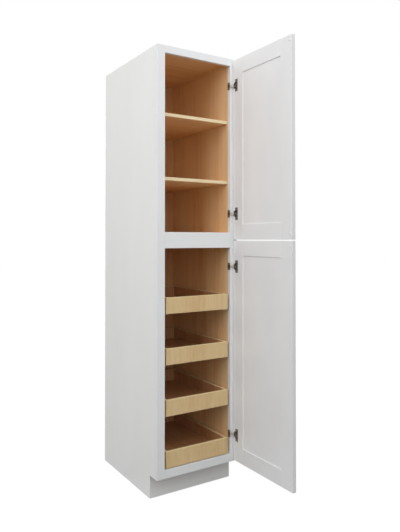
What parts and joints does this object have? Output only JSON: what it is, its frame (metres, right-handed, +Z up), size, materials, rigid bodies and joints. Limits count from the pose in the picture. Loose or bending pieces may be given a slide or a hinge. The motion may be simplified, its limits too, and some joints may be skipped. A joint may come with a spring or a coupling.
{
  "type": "tall utility cabinet",
  "caption": "Tall white face frame cabinet with two panel doors on cup hinges, wood shelves above and roll out trays on undermount slides below.",
  "frame": {"origin": "middle of the back where it meets the floor, on the plane of the wall", "axes": "+X to the cabinet's right seen from the front, +Y to the wall, +Z up; millimetres of the model are metres here"},
  "size_m": [0.4572, 1.0508, 2.1336],
  "materials": {
    "white_paint": "satin white lacquer on wood, as on the doors and the face frame",
    "white_side_laminate": "smooth white foil on the outer faces of the plywood sides",
    "maple_interior": "clear coated maple veneer on plywood",
    "shelf_plywood": "clear coated maple veneer, edges banded",
    "tray_plywood": "clear coated plywood with a pale banded top edge",
    "plain_wood": "unfinished softwood",
    "hinge_steel": "nickel plated steel",
    "slide_steel": "zinc plated steel sheet",
    "pin_plastic": "clear moulded polycarbonate",
    "bumper_plastic": "clear soft bumper"
  },
  "bodies": {
    "cabinet": {"left_side_panel": "white_side_laminate", "right_side_panel": "white_side_laminate", "top_panel": "maple_interior", "middle_deck": "maple_interior", "bottom_deck": "maple_interior", "back_panel": "maple_interior", "toe_kick_board": "white_side_laminate", "back_rails": "plain_wood", "side_liners": "maple_interior", "liner_battens": "plain_wood", "left_stile": "white_paint", "right_stile": "white_paint", "bottom_rail": "white_paint", "middle_rail": "white_paint", "top_rail": "white_paint", "lower_shelf": "shelf_plywood", "upper_shelf": "shelf_plywood", "shelf_pins": "pin_plastic", "hinge_arms": "hinge_steel", "hinge_pins": "hinge_steel", "hinge_arm_screws": "hinge_steel", "slide_cabinet_rails": "slide_steel"},
    "upper_door": {"upper_door_hinge_stile": "white_paint", "upper_door_free_stile": "white_paint", "upper_door_top_rail": "white_paint", "upper_door_bottom_rail": "white_paint", "upper_door_panel": "white_paint", "upper_door_hinge_cups": "hinge_steel", "upper_door_bumpers": "bumper_plastic"},
    "lower_door": {"lower_door_hinge_stile": "white_paint", "lower_door_free_stile": "white_paint", "lower_door_top_rail": "white_paint", "lower_door_bottom_rail": "white_paint", "lower_door_panel": "white_paint", "lower_door_hinge_cups": "hinge_steel", "lower_door_bumpers": "bumper_plastic"},
    "tray_1": {"tray_1_front": "tray_plywood", "tray_1_back": "tray_plywood", "tray_1_sides": "tray_plywood", "tray_1_bottom": "tray_plywood", "tray_1_runners": "slide_steel"},
    "tray_1_slide_middles": {"tray_1_slide_middles": "slide_steel"},
    "tray_2": {"tray_2_front": "tray_plywood", "tray_2_back": "tray_plywood", "tray_2_sides": "tray_plywood", "tray_2_bottom": "tray_plywood", "tray_2_runners": "slide_steel"},
    "tray_2_slide_middles": {"tray_2_slide_middles": "slide_steel"},
    "tray_3": {"tray_3_front": "tray_plywood", "tray_3_back": "tray_plywood", "tray_3_sides": "tray_plywood", "tray_3_bottom": "tray_plywood", "tray_3_runners": "slide_steel"},
    "tray_3_slide_middles": {"tray_3_slide_middles": "slide_steel"},
    "tray_4": {"tray_4_front": "tray_plywood", "tray_4_back": "tray_plywood", "tray_4_sides": "tray_plywood", "tray_4_bottom": "tray_plywood", "tray_4_runners": "slide_steel"},
    "tray_4_slide_middles": {"tray_4_slide_middles": "slide_steel"}
  },
  "joints": [
    {"name": "upper_door_hinge", "type": "hinge", "parent": "cabinet", "child": "upper_door", "pos_m": [0.21208, -0.6196, 1.67335], "axis": [0, 0, 1], "range_deg": [-90, 15]},
    {"name": "lower_door_hinge", "type": "hinge", "parent": "cabinet", "child": "lower_door", "pos_m": [0.21208, -0.6196, 0.6643], "axis": [0, 0, 1], "range_deg": [-90, 15]},
    {"name": "tray_1_slide", "type": "slide", "parent": "cabinet", "child": "tray_1", "axis": [0, -1, 0], "range_m": [0, 0.48]},
    {"name": "tray_1_slide_middles_slide", "type": "slide", "parent": "cabinet", "child": "tray_1_slide_middles", "axis": [0, -1, 0], "range_m": [0, 0.24]},
    {"name": "tray_2_slide", "type": "slide", "parent": "cabinet", "child": "tray_2", "axis": [0, -1, 0], "range_m": [0, 0.48]},
    {"name": "tray_2_slide_middles_slide", "type": "slide", "parent": "cabinet", "child": "tray_2_slide_middles", "axis": [0, -1, 0], "range_m": [0, 0.24]},
    {"name": "tray_3_slide", "type": "slide", "parent": "cabinet", "child": "tray_3", "axis": [0, -1, 0], "range_m": [0, 0.48]},
    {"name": "tray_3_slide_middles_slide", "type": "slide", "parent": "cabinet", "child": "tray_3_slide_middles", "axis": [0, -1, 0], "range_m": [0, 0.24]},
    {"name": "tray_4_slide", "type": "slide", "parent": "cabinet", "child": "tray_4", "axis": [0, -1, 0], "range_m": [0, 0.48]},
    {"name": "tray_4_slide_middles_slide", "type": "slide", "parent": "cabinet", "child": "tray_4_slide_middles", "axis": [0, -1, 0], "range_m": [0, 0.24]}
  ],
  "couplings": [
    {"joint": "tray_1_slide_middles_slide", "follows": "tray_1_slide", "ratio": 0.5},
    {"joint": "tray_2_slide_middles_slide", "follows": "tray_2_slide", "ratio": 0.5},
    {"joint": "tray_3_slide_middles_slide", "follows": "tray_3_slide", "ratio": 0.5},
    {"joint": "tray_4_slide_middles_slide", "follows": "tray_4_slide", "ratio": 0.5}
  ]
}
